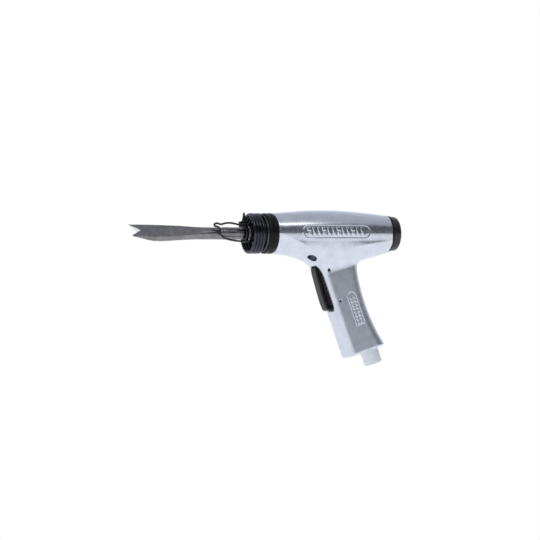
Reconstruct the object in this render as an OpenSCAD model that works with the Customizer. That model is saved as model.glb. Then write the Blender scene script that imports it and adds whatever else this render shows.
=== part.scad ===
// Pneumatic air hammer: pistol-form housing, steel cylinder, valve, lever trigger and forked chisel.
// Millimetres. +X is the way the chisel points, +Y is the user's left, +Z is up.
// The origin is the centre of the rear cap's flat back face, on the barrel's axis.
// Grip parts are drawn in the grip's own frame: x is square to the front strap, z runs up the grip.

/* [Barrel] */
// Largest radius of the barrel
barrel_r = 30.9; // [30:0.1:32]
// Radius of the barrel at its rear rim
barrel_rear_r = 24.3; // [24:0.1:25]
// Radius of the barrel at its front face
barrel_front_r = 26.7; // [26:0.1:28]
// Distance of the barrel's front face from the rear cap's back face
barrel_front_x = 177.5; // [176:0.5:178]
// Distance of the barrel's widest place from the rear cap's back face
barrel_wide_x = 103; // [98:1:110]

/* [Grip] */
// Backward lean of the grip, in degrees
grip_lean = 18.5; // [18:0.5:19]
// Width of the grip from side to side
grip_w = 36; // [35:0.5:38]
// Radius of the hollow curve down the back of the grip
grip_back_r = 226; // [210:1:260]
// Half width of the neck between the barrel and the grip
neck_half_w = 14.5; // [13:0.5:16]

/* [Cylinder and piston] */
// Radius of the piston's bore
bore_r = 9.5; // [9.3:0.1:9.7]
// Running clearance between a sliding or turning piece and its bore
running_gap = 0.06; // [0.04:0.01:0.08]
// Outside radius of the cylinder in the barrel
cylinder_r = 15.5; // [15.4:0.1:15.6]
// Length of the piston
piston_l = 40; // [34:1:42]

/* [Nose and chisel] */
// Outside radius of the retainer coil and of the rubber ring behind it
nose_r = 26.5; // [26.3:0.1:26.8]
// Diameter of the retainer coil's wire
coil_wire_d = 4; // [3.8:0.1:4]
// Diameter of the bail's wire
bail_wire_d = 2.6; // [2:0.1:2.6]
// Radius of the chisel's shank inside the tool
shank_r = 5.1; // [5:0.05:5.2]
// Radius of the chisel's round stem outside the tool
stem_r = 8; // [7.6:0.1:8.2]
// Distance of the chisel's tip from the rear cap's back face
chisel_tip_x = 378; // [370:1:385]
// Turn of the fork about the chisel's own axis, in degrees
fork_turn = -48; // [-55:1:-40]

/* [Trigger and air inlet] */
// Width of the trigger
trigger_w = 16.6; // [15:0.2:16.8]
// Radius of the throttle stem
throttle_stem_r = 2.5; // [2.4:0.05:2.55]
// Radius of the inlet's threaded hole at the crests of its thread
inlet_hole_r = 5.72; // [5.6:0.01:5.8]
// Outside radius of the dust cap
dust_cap_r = 12.4; // [12:0.1:12.6]

/* [Hidden] */
$fn = 96;
round_fn = 64;
eps = 0.02;
fit_gap = 0.02;
through = 60;

// Places along the barrel's axis
cap_flange_x = 10.8;
rim_x = 13.9;
plug_end_x = 28;
valve_box_x = 31;
valve_cavity_x = 36;
valve_seat_x = 44;
cylinder_x = 47;
gallery_end_x = 74;
exhaust_x = [108, 142];
counterbore_x = 165;
nose_flange_x = [190.8, 193];
nose_end_x = 199;
bush_x = [158, 196.5];
collar_x = [205, 212.2];
stem_end_x = 243;
shank_end_x = 162;

// Radii about the barrel's axis
plug_r = 20;
valve_r = 18;
cylinder_hole_r = cylinder_r + 0.1;
exhaust_r = 18.5;
counterbore_r = 19.2;
nose_core_r = nose_r - coil_wire_d - 0.3;
bush_r = 8;
collar_r = 9.75;
blade_r = stem_r - 0.1;
shuttle_r = 10;
seal_groove_r = 13.9;
seal_x = [90, 154];

// Grip frame, with its place in the tool's frame
grip_origin = [0.75, 0, -5.5];
strap_x = 120.5;
base_z = -125.5;
pivot = [112.6, -8.1];
throttle_z = -43.9;
bush_pin = [111.2, -51.5];
slot_floor_x = 114.2;
slot_z = [-62.5, 2];
slot_w = trigger_w + 1;
trigger_back_x = 118.5;
trigger_pin_r = 1.9;
bush_pin_r = 1.5;
throttle_bush_r = 8;
throttle_bush_x = [97, 113.5];
poppet_x = [91, 95.45];
poppet_bore_r = 6;
inlet_x = 87.1;
inlet_thread_r = 9;
inlet_top_z = -108;
inlet_collar_z = [-138.5, -127];

// Bail
bail_pivot = [206.5, 12];
bail_r = bail_wire_d / 2;

// ---- shared shapes ----

// Solid of revolution about the barrel's axis, from [radius, x] points
module turned(points) {
    rotate([0, 90, 0]) rotate_extrude() polygon(points);
}

// Ring of rectangular section about the barrel's axis
module turned_ring(inner, outer, x0, x1) {
    turned([[inner, x0], [outer, x0], [outer, x1], [inner, x1]]);
}

// Round bar along the barrel's axis
module bar_x(r, x0, x1) {
    translate([x0, 0, 0]) rotate([0, 90, 0]) cylinder(r = r, h = x1 - x0);
}

// Side outline, drawn in x and z, given a width in y
module slab(width) {
    rotate([90, 0, 0]) translate([0, 0, -width / 2]) linear_extrude(width) children();
}

// Moves children from the grip's frame to the tool's frame
module in_grip() {
    translate(grip_origin) rotate([0, grip_lean, 0]) children();
}

// Round bar across the tool at a place in the grip's frame
module cross_bar(at, r, length) {
    translate([at[0], length / 2, at[1]]) rotate([90, 0, 0]) cylinder(r = r, h = length, $fn = round_fn);
}

// Turns children's +Z to a direction
module toward(v) {
    rotate([0, acos(v[2] / norm(v)), atan2(v[1], v[0])]) children();
}

// Points of an arc in a plane
function arc(centre, r, a0, a1, n) = [
    for (i = [0:n]) let (a = a0 + (a1 - a0) * i / n) centre + r * [cos(a), sin(a)]
];

function unit(v) = v / norm(v);

// Catmull-Rom point between p1 and p2
function blend_point(p0, p1, p2, p3, t) =
    0.5 * (2 * p1 + (p2 - p0) * t + (2 * p0 - 5 * p1 + 4 * p2 - p3) * t * t
    + (3 * p1 - 3 * p2 + p3 - p0) * t * t * t);

// Smooth path through points, with a number of steps between each pair
function smooth_path(p, steps) = concat([
    for (i = [0:len(p) - 2], s = [0:steps - 1])
        blend_point(p[max(i - 1, 0)], p[i], p[i + 1], p[min(i + 2, len(p) - 1)], s / steps)
], [p[len(p) - 1]]);

// Direction of a path at each of its points
function path_way(p, i) = unit(p[min(i + 1, len(p) - 1)] - p[max(i - 1, 0)]);

// A round wire along a path; side is a direction that the path never follows
module wire(path, r, sides, side) {
    rings = len(path);
    points = [
        for (i = [0:rings - 1])
            let (w = path_way(path, i), u = unit(cross(w, side)), v = cross(w, u))
            for (k = [0:sides - 1]) path[i] + r * (cos(360 * k / sides) * u + sin(360 * k / sides) * v)
    ];
    loft(points, rings, sides);
}

// A closed skin over rings of points
module loft(points, rings, sides) {
    skin = [
        for (i = [0:rings - 2], k = [0:sides - 1])
            let (n = (k + 1) % sides)
            [(i + 1) * sides + k, (i + 1) * sides + n, i * sides + n, i * sides + k]
    ];
    first = [[for (k = [0:sides - 1]) k]];
    last = [[for (k = [0:sides - 1]) rings * sides - 1 - k]];
    polyhedron(points, concat(first, skin, last), convexity = 8);
}

// ---- housing ----

// Radius of the barrel at a place along its axis, plus a margin
function barrel_at(x) = x < barrel_wide_x
    ? barrel_rear_r + (barrel_r - barrel_rear_r) * sin(90 * (x - rim_x) / (barrel_wide_x - rim_x))
    : barrel_front_r + (barrel_r - barrel_front_r)
        * cos(90 * (x - barrel_wide_x) / (barrel_front_x - barrel_wide_x));

module barrel_solid(margin) {
    steps = 24;
    length = barrel_front_x - rim_x;
    turned(concat(
        [[0, rim_x]],
        [for (i = [0:steps]) let (x = rim_x + length * i / steps) [barrel_at(x) + margin, x]],
        [[0, barrel_front_x]]
    ));
}

// Section of the grip: rounded at the back, square toward the front strap
module grip_section() {
    corner = 13;
    depth = 60;
    translate([corner, -grip_w / 2]) square([depth - corner, grip_w]);
    translate([0, corner - grip_w / 2]) square([depth, grip_w - 2 * corner]);
    for (side = [-1, 1]) translate([corner, side * (grip_w / 2 - corner)]) circle(corner);
}

// Plan of the grip, with the strap's corners rounded
module grip_plan() {
    corner = 8;
    back = 50;
    translate([back, -grip_w / 2]) square([strap_x - corner - back, grip_w]);
    translate([back, corner - grip_w / 2]) square([strap_x - back, grip_w - 2 * corner]);
    for (side = [-1, 1]) {
        translate([strap_x - corner, side * (grip_w / 2 - corner)]) circle(corner);
    }
}

module grip_solid() {
    back_x = 74;
    middle_z = -66;
    toe_r = 4;
    heel_r = 3;
    heel_x = 71.3;
    inside_x = 52;
    outline = concat(
        [[inside_x, 14], [strap_x, 14]],
        arc([strap_x - toe_r, base_z + toe_r], toe_r, 0, -90, 5),
        arc([heel_x, base_z + heel_r], heel_r, -90, -180, 4),
        [[inside_x, base_z + 14]]
    );
    in_grip() intersection() {
        slab(2 * grip_w) polygon(outline);
        translate([back_x - grip_back_r, 0, middle_z]) rotate([90, 0, 0])
            rotate_extrude($fn = 180) translate([grip_back_r, 0]) grip_section();
        translate([0, 0, base_z - 5]) linear_extrude(160) grip_plan();
    }
}

// Neck that carries the barrel on the grip, and the fairing behind it
module neck_solid() {
    neck = concat(
        [[62, -20], [60, -40], [66, -52], [108, -54], [116, -44.2], [123.5, -40.4], [133, -36]],
        [[146, -28.5], [152, -20]]
    );
    fairing = [[24, -18], [24, -25.6], [56, -35.6], [62, -40.5], [72, -48], [80, -20]];
    slab(2 * neck_half_w) polygon(neck);
    slab(18) polygon(fairing);
}

// Stadium-shaped raised badge on the left of the barrel
module badge_solid() {
    half_h = 9.4;
    ends_x = [57, 137];
    intersection() {
        barrel_solid(0.8);
        rotate([-90, 0, 0]) linear_extrude(40) {
            translate([ends_x[0], -half_h]) square([ends_x[1] - ends_x[0], 2 * half_h]);
            for (x = ends_x) translate([x, 0]) circle(half_h);
        }
    }
}

// Raised arched panel on the left of the grip
module panel_solid() {
    half_w = 7;
    height = 39.5;
    in_grip() translate([93.6, grip_w / 2 + 0.6, -90.1]) rotate([90, 0, 0]) linear_extrude(3) {
        translate([-half_w, 0]) square([2 * half_w, height]);
        translate([0, height]) circle(half_w);
    }
}

// Bore for the valve, the cylinder and the galleries round them
module barrel_bores() {
    turned([
        [0, rim_x - 1], [plug_r, rim_x - 1], [plug_r, valve_box_x], [valve_r, valve_box_x],
        [valve_r, gallery_end_x], [cylinder_hole_r, gallery_end_x], [cylinder_hole_r, exhaust_x[0]],
        [exhaust_r, exhaust_x[0]], [exhaust_r, exhaust_x[1]], [cylinder_hole_r, exhaust_x[1]],
        [cylinder_hole_r, counterbore_x], [counterbore_r, counterbore_x],
        [counterbore_r, barrel_front_x + 1], [0, barrel_front_x + 1]
    ]);
}

// Two exhaust holes that blow forward, outward and down
module exhaust_bores() {
    for (side = [-1, 1]) {
        way = unit([0.6, side * 0.34, -0.73]);
        translate([128, side * 16.5, -33.6] - 19 * way) toward(way) cylinder(r = 5.5, h = 36, $fn = round_fn);
    }
}

// Hole from the throttle up to the gallery round the cylinder's rear end
module air_passage() {
    low = [87, 0, -74];
    high = [66, 0, -16];
    translate(low) toward(high - low) cylinder(r = 4, h = norm(high - low), $fn = round_fn);
}

// Trigger slot, throttle bore, inlet bore and pin holes
module grip_bores() {
    lug_gap_r = 6.1;
    in_grip() {
        translate([slot_floor_x, -slot_w / 2, slot_z[0]]) cube([40, slot_w, slot_z[1] - slot_z[0]]);
        translate([pivot[0], -slot_w / 2, pivot[1] - lug_gap_r]) {
            cube([20, slot_w, slot_z[1] - pivot[1] + lug_gap_r]);
        }
        cross_bar(pivot, lug_gap_r, slot_w);
        cross_bar(pivot, trigger_pin_r + fit_gap, through);
        cross_bar(bush_pin, bush_pin_r + fit_gap, through);
        translate([0, 0, throttle_z]) {
            bar_x(poppet_bore_r, 81.5, throttle_bush_x[0] + eps);
            bar_x(throttle_bush_r + fit_gap, throttle_bush_x[0], 120);
        }
        translate([inlet_x, 0, 0]) {
            translate([0, 0, base_z - 1]) cylinder(r = inlet_thread_r + fit_gap, h = 19);
            translate([0, 0, inlet_top_z]) cylinder(r = 7, h = 58);
            translate([0, 0, -52]) cylinder(r = 3.5, h = 8, $fn = round_fn);
        }
    }
}

module housing() {
    color("silver") difference() {
        union() {
            barrel_solid(0);
            badge_solid();
            neck_solid();
            grip_solid();
            panel_solid();
        }
        barrel_bores();
        exhaust_bores();
        air_passage();
        grip_bores();
    }
}

// ---- rear end and valve ----

// Screwed cap with two blind holes for a pin spanner
module rear_cap() {
    color([0.12, 0.12, 0.13]) difference() {
        turned([
            [0, 0], [20.6, 0], [22.1, 1.5], [23, 9.8], [22.6, cap_flange_x], [plug_r - 0.1, cap_flange_x],
            [plug_r - 0.1, plug_end_x], [15, plug_end_x], [15, 12], [12, 6], [0, 6]
        ]);
        for (side = [-1, 1]) translate([0, side * 12.5, 0]) bar_x(2, -1, 3, $fn = 32);
    }
}

module cap_seal() {
    lip = 1.2;
    outer = 23.9;
    color([0.06, 0.06, 0.06]) turned(concat(
        [[plug_r + 0.1, cap_flange_x], [outer - lip, cap_flange_x]],
        arc([outer - lip, cap_flange_x + lip], lip, -90, 0, 6),
        arc([outer - lip, rim_x - lip], lip, 0, 90, 6),
        [[plug_r + 0.1, rim_x]]
    ));
}

module thrust_ring() {
    color([0.1, 0.1, 0.1]) turned_ring(12, valve_r - 0.3, plug_end_x, valve_box_x);
}

module valve_box() {
    slots = 6;
    color("gray") difference() {
        turned([
            [4, valve_box_x], [valve_r - 0.1, valve_box_x], [valve_r - 0.1, valve_seat_x],
            [shuttle_r, valve_seat_x], [shuttle_r, valve_cavity_x], [4, valve_cavity_x]
        ]);
        for (i = [0:slots - 1]) rotate([30 + 360 * i / slots, 0, 0]) {
            translate([valve_cavity_x + 4, 0, shuttle_r - 1]) cylinder(r = 1.6, h = 12, $fn = 24);
        }
        translate([0, 0, 12.5]) bar_x(1.27, 41, valve_seat_x + 1);
    }
}

module shuttle_valve() {
    r = shuttle_r - running_gap;
    color("darkgray") turned([
        [6, 36.2], [r, 36.2], [r, 38], [r - 1.5, 38.5], [r - 1.5, 39.4], [r, 39.9], [r, 41.7], [6, 41.7]
    ]);
}

module valve_seat() {
    ports = 8;
    color("gray") difference() {
        turned_ring(7, valve_r - 0.1, valve_seat_x, cylinder_x);
        for (i = [0.5:ports - 0.5]) rotate([360 * i / ports, 0, 0]) translate([0, 0, 12.5]) {
            bar_x(1.4, valve_seat_x - 1, cylinder_x + 1, $fn = 24);
        }
        translate([0, 0, 12.5]) bar_x(1.27, valve_seat_x - 1, cylinder_x + 1);
    }
}

module valve_dowel() {
    color("silver") translate([0, 0, 12.5]) bar_x(1.25, 41.2, 50.8, $fn = 32);
}

// ---- cylinder, piston and nose ----

// Ear on the nose's front face with an upright hole for the bail's end
module bail_ear(side) {
    translate([nose_end_x - 1, 9.5, side > 0 ? 12.5 : -16.5]) cube([11, 5, 4]);
}

module cylinder_body() {
    groove_w = 2.2;
    turned([
        [0, cylinder_x], [cylinder_r, cylinder_x], [cylinder_r, seal_x[0]],
        [seal_groove_r, seal_x[0]], [seal_groove_r, seal_x[0] + groove_w],
        [cylinder_r, seal_x[0] + groove_w], [cylinder_r, seal_x[1]],
        [seal_groove_r, seal_x[1]], [seal_groove_r, seal_x[1] + groove_w],
        [cylinder_r, seal_x[1] + groove_w], [cylinder_r, counterbore_x],
        [counterbore_r - 0.1, counterbore_x], [counterbore_r - 0.1, barrel_front_x],
        [nose_core_r, barrel_front_x], [nose_core_r, nose_flange_x[0]],
        [nose_core_r + 2.2, nose_flange_x[0]], [nose_core_r + 2.2, nose_flange_x[1]],
        [nose_core_r, nose_flange_x[1]], [nose_core_r, nose_end_x - 1], [nose_core_r - 1, nose_end_x],
        [0, nose_end_x]
    ]);
}

module cylinder_tube() {
    exhaust_holes = 6;
    color([0.2, 0.2, 0.21]) difference() {
        union() {
            cylinder_body();
            for (side = [-1, 1]) bail_ear(side);
        }
        turned([
            [0, cylinder_x - 1], [bore_r, cylinder_x - 1], [bore_r, 156], [bush_r + fit_gap, bush_x[0]],
            [bush_r + fit_gap, bush_x[1]], [11.5, bush_x[1]], [11.5, nose_end_x + 1], [0, nose_end_x + 1]
        ]);
        for (i = [0:exhaust_holes - 1]) rotate([360 * i / exhaust_holes, 0, 0]) {
            translate([124, 0, bore_r - 1]) cylinder(r = 2.5, h = 10, $fn = 32);
        }
        translate([0, 0, 12.5]) bar_x(1.27, cylinder_x - 1, 51);
        translate([bail_pivot[0], bail_pivot[1], -20]) cylinder(r = bail_r + 0.12, h = 40, $fn = 32);
    }
}

module cylinder_seals() {
    r = 0.84;
    color([0.06, 0.06, 0.06]) for (x = seal_x) {
        translate([x + 1.1, 0, 0]) rotate([0, 90, 0]) rotate_extrude() {
            translate([seal_groove_r + r + 0.01, 0]) circle(r, $fn = 24);
        }
    }
}

module piston() {
    start = cylinder_x + 0.8;
    r = bore_r - running_gap;
    color("silver") turned([
        [0, start], [r - 1.5, start], [r, start + 1.5], [r, start + 14], [r - 0.6, start + 14.6],
        [r - 0.6, start + 17], [r, start + 17.6], [r, start + piston_l - 4], [r - 2.5, start + piston_l],
        [0, start + piston_l]
    ]);
}

module chisel_bush() {
    color([0.55, 0.5, 0.4]) turned_ring(shank_r + running_gap, bush_r, bush_x[0] + 0.1, bush_x[1]);
}

module nose_ring() {
    x0 = barrel_front_x + 0.1;
    x1 = nose_flange_x[0] - 0.1;
    lip = 2.2;
    middle = (x0 + x1) / 2;
    color([0.05, 0.05, 0.06]) turned(concat(
        [[nose_core_r + 0.1, x0], [nose_r - lip, x0]],
        arc([nose_r - lip, x0 + lip], lip, -90, 0, 6),
        [[nose_r, middle - 1.4], [nose_r - 1, middle - 0.6], [nose_r - 1, middle + 0.6], [nose_r, middle + 1.4]],
        arc([nose_r - lip, x1 - lip], lip, 0, 90, 6),
        [[nose_core_r + 0.1, x1]]
    ));
}

// Close-wound coil that is screwed on the nose and stands past it as an open mouth
module retainer_coil() {
    turns = 4;
    pitch = 4.1;
    steps = 36;
    r = coil_wire_d / 2;
    mean_r = nose_r - r;
    x0 = nose_flange_x[1] + r + 0.1;
    path = [
        for (i = [0:turns * steps])
            let (a = 360 * i / steps + 60) [x0 + pitch * i / steps, mean_r * cos(a), mean_r * sin(a)]
    ];
    color([0.07, 0.08, 0.1]) wire(path, r - 0.02, 10, [1, 0, 0]);
}

// Spring-wire loop across the front of the chisel's collar, turning on the two ears of the nose
module retaining_bail() {
    // Ends of the two straight stretches that turn in the ears
    outer_z = 15.9;
    inner_z = 12.2;
    bend_z = 11.4;
    loop = [
        [208.2, 11.6, 10.8], [214, 10.9, 11], [222, 10.4, 10.8], [228, 10.1, 10.7], [233, 9.8, 11.8],
        [240, 9.5, 12.9], [247, 9.6, 12.4], [253, 9.9, 11], [258.5, 10.3, 12.3], [262.3, 10.5, 11.2],
        [262, 10.7, 8.8], [258, 10.7, 7.8], [255, 10.5, 5.4], [254.7, 10.4, 0], [251.6, 10.2, -4.8],
        [245.3, 10, -7.9], [235.4, 9.9, -9.9], [226, 10.1, -11], [216, 10.8, -11.2], [208.4, 11.6, -10.8]
    ];
    route = concat(
        [for (z = [outer_z, inner_z, bend_z]) [bail_pivot[0], bail_pivot[1], z]],
        loop,
        [for (z = [bend_z, inner_z, outer_z]) [bail_pivot[0], bail_pivot[1], -z]]
    );
    color([0.08, 0.08, 0.09]) wire(smooth_path(route, 4), bail_r, 8, [0.05, 1, 0.02]);
}

// Thumb catch crimped on the bail, with a half-round yoke in front of the chisel's collar
module bail_catch() {
    size = [10.1, 6, 8];
    low_corner = [217.4, 7.5, 7];
    tab = [[217, 14.5], [223.6, 14.5], [221.8, 21], [221, 26.6], [219.6, 26.6], [218.6, 21]];
    color([0.1, 0.1, 0.11]) difference() {
        union() {
            translate(low_corner) cube(size);
            translate([0, 10.5, 0]) slab(3.6) polygon(tab);
            intersection() {
                turned_ring(11.3, 13.5, 214.6, 218.6);
                translate([200, 3, -20]) cube([30, 20, 40]);
            }
        }
        bail_channel();
    }
}

// Clearance for the bail's wire through the catch
module bail_channel() {
    low = [211.5, 11.1, 11.1];
    high = [231, 10, 10.8];
    translate(low) toward(high - low) cylinder(r = bail_r + 0.4, h = norm(high - low), $fn = 32);
}

// ---- chisel ----

// Straight line between two values, held at its ends
function ramp(x, x0, x1, v0, v1) = v0 + (v1 - v0) * min(max((x - x0) / (x1 - x0), 0), 1);

// The fork's half width, the height of its flat face and the depth of its round back
function fork_half_w(x) = blade_r + ramp(x, 285, 322, 0, 1) + ramp(x, 322, chisel_tip_x, 0, 2.7);
function fork_face(x) = ramp(x, 250, 322, blade_r, 4.9) + ramp(x, 340, chisel_tip_x, 0, 1.1);
function fork_back(x) = -blade_r + ramp(x, 341, chisel_tip_x, 0, blade_r + 4.4);
function signed_power(v, p) = sign(v) * pow(abs(v), p);

module chisel_blade() {
    sides = 32;
    stations = [stem_end_x - 5, 250, 260, 270, 280, 290, 300, 311, 322, 332, 341, 350, 359, 367, 373, chisel_tip_x];
    points = [
        for (x = stations)
            let (flat = ramp(x, 250, 322, 1, 0.3), top = fork_face(x), low = fork_back(x), w = fork_half_w(x))
            for (k = [0:sides - 1])
                let (
                    a = 360 * k / sides,
                    middle = x > 341 ? (top + low) / 2 : 0,
                    n = sin(a) > 0
                        ? middle + (top - middle) * pow(sin(a), flat)
                        : middle - (middle - low) * pow(-sin(a), 1)
                )
                [x, w * signed_power(cos(a), ramp(x, 250, 341, 1, 0.7)), n]
    ];
    loft(points, len(stations), sides);
}

module chisel_notch() {
    apex_x = chisel_tip_x - 14.5;
    linear_extrude(60, center = true) polygon([
        [apex_x, 0], [chisel_tip_x + 1, -10.6], [chisel_tip_x + 10, -10.6], [chisel_tip_x + 10, 10.6],
        [chisel_tip_x + 1, 10.6]
    ]);
}

module chisel() {
    color([0.36, 0.35, 0.37]) {
        turned([
            [0, shank_end_x], [shank_r - 1, shank_end_x], [shank_r, shank_end_x + 1.2], [shank_r, collar_x[0]],
            [collar_r - 0.8, collar_x[0]], [collar_r, collar_x[0] + 0.8], [collar_r, collar_x[1] - 1.2],
            [collar_r - 1.2, collar_x[1]], [stem_r, collar_x[1]], [stem_r, stem_end_x], [0, stem_end_x]
        ]);
        rotate([fork_turn, 0, 0]) difference() {
            chisel_blade();
            chisel_notch();
        }
    }
}

// ---- trigger and throttle ----

// Side outline of the trigger in the grip's frame
module trigger_outline() {
    lug_r = 5.5;
    tip_r = 5.3;
    difference() {
        polygon(concat(
            [[118, 0.6], [125.8, 0.6], [127.2, -6], [128.4, -22], [129.3, -38], [129.6, -47]],
            arc([123.8, -54.2], tip_r, 10, -90, 8),
            [[119.8, -59.5], [trigger_back_x, -58.2], [trigger_back_x, -17]],
            arc(pivot, lug_r, -55, -270, 20)
        ));
        translate(pivot) circle(trigger_pin_r + running_gap, $fn = round_fn);
    }
}

module trigger() {
    panel_depth = 1;
    color([0.06, 0.06, 0.07]) in_grip() difference() {
        slab(trigger_w) trigger_outline();
        for (side = [-1, 1]) translate([0, side * trigger_w / 2, 0]) slab(2 * panel_depth) {
            polygon([[120.6, -14], [124.6, -14], [126.2, -38], [126, -52], [121, -54]]);
        }
    }
}

module trigger_pin() {
    color([0.15, 0.15, 0.16]) in_grip() cross_bar(pivot, trigger_pin_r, grip_w - 0.6);
}

module throttle_bush_pin() {
    color([0.15, 0.15, 0.16]) in_grip() cross_bar(bush_pin, bush_pin_r, grip_w - 0.6);
}

module throttle_bush() {
    guide_r = throttle_stem_r + running_gap;
    color([0.7, 0.6, 0.35]) in_grip() difference() {
        translate([0, 0, throttle_z]) difference() {
            turned([
                [4, throttle_bush_x[0]], [throttle_bush_r, throttle_bush_x[0]],
                [throttle_bush_r, throttle_bush_x[1]], [4.3, throttle_bush_x[1]],
                [4.3, 110.4], [guide_r, 110.4], [guide_r, 107], [4, 106]
            ]);
            translate([102.5, 0, 0]) cylinder(r = 3, h = 12, $fn = 32);
        }
        cross_bar(bush_pin, bush_pin_r + fit_gap, through);
    }
}

module throttle_stem() {
    tip_x = pivot[0] + 3.3;
    color("silver") in_grip() translate([0, 0, throttle_z]) {
        bar_x(2.8, poppet_x[0] - 2.5, poppet_x[0] + 1);
        bar_x(5, poppet_x[0], poppet_x[1]);
        bar_x(throttle_stem_r, poppet_x[1] - 1, tip_x);
        translate([tip_x, 0, 0]) sphere(throttle_stem_r, $fn = round_fn);
    }
}

module throttle_seat() {
    color([0.1, 0.1, 0.1]) in_grip() translate([0, 0, throttle_z]) {
        turned_ring(3.2, poppet_bore_r - 0.1, poppet_x[1] + 0.05, throttle_bush_x[0]);
    }
}

module throttle_spring() {
    turns = 5;
    steps = 18;
    wire_r = 0.4;
    x0 = 81.5 + wire_r;
    x1 = poppet_x[0] - wire_r - 0.1;
    count = turns * steps;
    path = [
        for (i = [0:count])
            let (a = 360 * i / steps) [x0 + (x1 - x0) * i / count, 4 * cos(a), throttle_z + 4 * sin(a)]
    ];
    color("silver") in_grip() wire(path, wire_r, 6, [1, 0, 0]);
}

module stem_seal() {
    r = 0.85;
    color([0.06, 0.06, 0.06]) in_grip() translate([111.6, 0, throttle_z]) rotate([0, 90, 0]) {
        rotate_extrude() translate([throttle_stem_r + 0.05 + r, 0]) circle(r, $fn = 24);
    }
}

// ---- air inlet ----

module inlet_bush() {
    hole_top_z = inlet_collar_z[0] + 18;
    hex_r = 10.2;
    color([0.75, 0.76, 0.78]) in_grip() translate([inlet_x, 0, 0]) difference() {
        union() {
            translate([0, 0, inlet_collar_z[0]]) {
                cylinder(r = hex_r, h = inlet_collar_z[1] - inlet_collar_z[0], $fn = 6);
            }
            translate([0, 0, inlet_collar_z[1] - 1]) {
                cylinder(r = inlet_thread_r, h = inlet_top_z - inlet_collar_z[1] + 1);
            }
        }
        translate([0, 0, inlet_collar_z[0] - 1]) {
            cylinder(r = inlet_hole_r, h = hole_top_z - inlet_collar_z[0] + 1);
        }
        translate([0, 0, hole_top_z - eps]) cylinder(r = 4.6, h = 20, $fn = round_fn);
    }
}

module inlet_seal() {
    color([0.1, 0.1, 0.1]) in_grip() translate([inlet_x, 0, inlet_collar_z[1]]) difference() {
        cylinder(r = 10.1, h = base_z - inlet_collar_z[1]);
        translate([0, 0, -1]) cylinder(r = inlet_thread_r + 0.1, h = 5);
    }
}

// Thimble-shaped strainer in the top of the inlet bush
module inlet_screen() {
    slots = 6;
    low_z = -120.2;
    height = 15;
    color([0.8, 0.7, 0.4]) in_grip() translate([inlet_x, 0, low_z]) difference() {
        cylinder(r = 4.5, h = height, $fn = round_fn);
        translate([0, 0, -1]) cylinder(r = 3.8, h = height, $fn = round_fn);
        for (i = [0:slots / 2 - 1]) rotate([0, 0, 360 * i / slots]) {
            translate([-6, -0.6, 2]) cube([12, 1.2, height - 5]);
        }
    }
}

module dust_cap() {
    top_z = base_z - 0.3;
    height = 19.2;
    wall = 1.3;
    edge = 2;
    color([0.85, 0.9, 0.95]) in_grip() translate([inlet_x, 0, top_z]) rotate_extrude() polygon(concat(
        [[dust_cap_r - wall, 0], [dust_cap_r, 0]],
        arc([dust_cap_r - edge, -height + edge], edge, 0, -90, 6),
        [[0, -height], [0, -height + wall], [dust_cap_r - wall, -height + wall]]
    ));
}

housing();
rear_cap();
cap_seal();
thrust_ring();
valve_box();
shuttle_valve();
valve_seat();
valve_dowel();
cylinder_tube();  // cylinder
cylinder_seals();
piston();
chisel_bush();
nose_ring();
retainer_coil();
retaining_bail();
bail_catch();
chisel();
trigger();
trigger_pin();
throttle_bush();
throttle_bush_pin();
throttle_stem();
throttle_seat();
throttle_spring();
stem_seal();
inlet_bush();
inlet_seal();
inlet_screen();
dust_cap();
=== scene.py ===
"""Looks of the pneumatic air hammer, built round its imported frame. Shapes are in millimetres and turned to metres."""

import math

import bmesh
import bpy
import numpy as np
import openvdb
from mathutils import Matrix, Vector


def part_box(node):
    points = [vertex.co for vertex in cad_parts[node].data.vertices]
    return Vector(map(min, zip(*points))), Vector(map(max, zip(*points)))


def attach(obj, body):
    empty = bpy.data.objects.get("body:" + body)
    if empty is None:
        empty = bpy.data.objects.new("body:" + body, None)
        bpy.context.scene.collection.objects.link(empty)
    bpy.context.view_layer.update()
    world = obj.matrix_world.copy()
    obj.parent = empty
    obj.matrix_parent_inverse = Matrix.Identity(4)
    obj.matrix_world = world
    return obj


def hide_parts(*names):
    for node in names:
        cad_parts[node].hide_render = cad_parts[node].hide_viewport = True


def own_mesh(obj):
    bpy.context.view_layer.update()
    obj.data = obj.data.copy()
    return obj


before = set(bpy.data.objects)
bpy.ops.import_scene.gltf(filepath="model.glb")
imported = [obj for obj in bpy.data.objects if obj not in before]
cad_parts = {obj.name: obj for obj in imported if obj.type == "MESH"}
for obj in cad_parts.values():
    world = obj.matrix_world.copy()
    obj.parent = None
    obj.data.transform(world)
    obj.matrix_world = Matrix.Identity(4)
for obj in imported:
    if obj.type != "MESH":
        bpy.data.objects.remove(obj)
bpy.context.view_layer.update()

MM = 0.001


def span(node):
    """A node's lowest and highest corners at rest, in millimetres."""
    return [np.array(corner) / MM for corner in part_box(node)]


# ---- places read from the frame, in millimetres ----
RIM_X = span("cap_seal")[1][0]
FRONT_X = span("nose_ring")[0][0] - 0.1
BARREL_R = span("housing")[1][2]
CAP_FLANGE_X = span("cap_seal")[0][0]
NOSE_R = span("nose_ring")[1][2]
CHISEL_X0, CHISEL_X1 = (corner[0] for corner in span("chisel"))
GRIP_HALF_W = 18.0

# ---- the barrel's outline ----
REAR_R = 24.3
FRONT_R = 26.7
WIDE_X = 103.0

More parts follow.
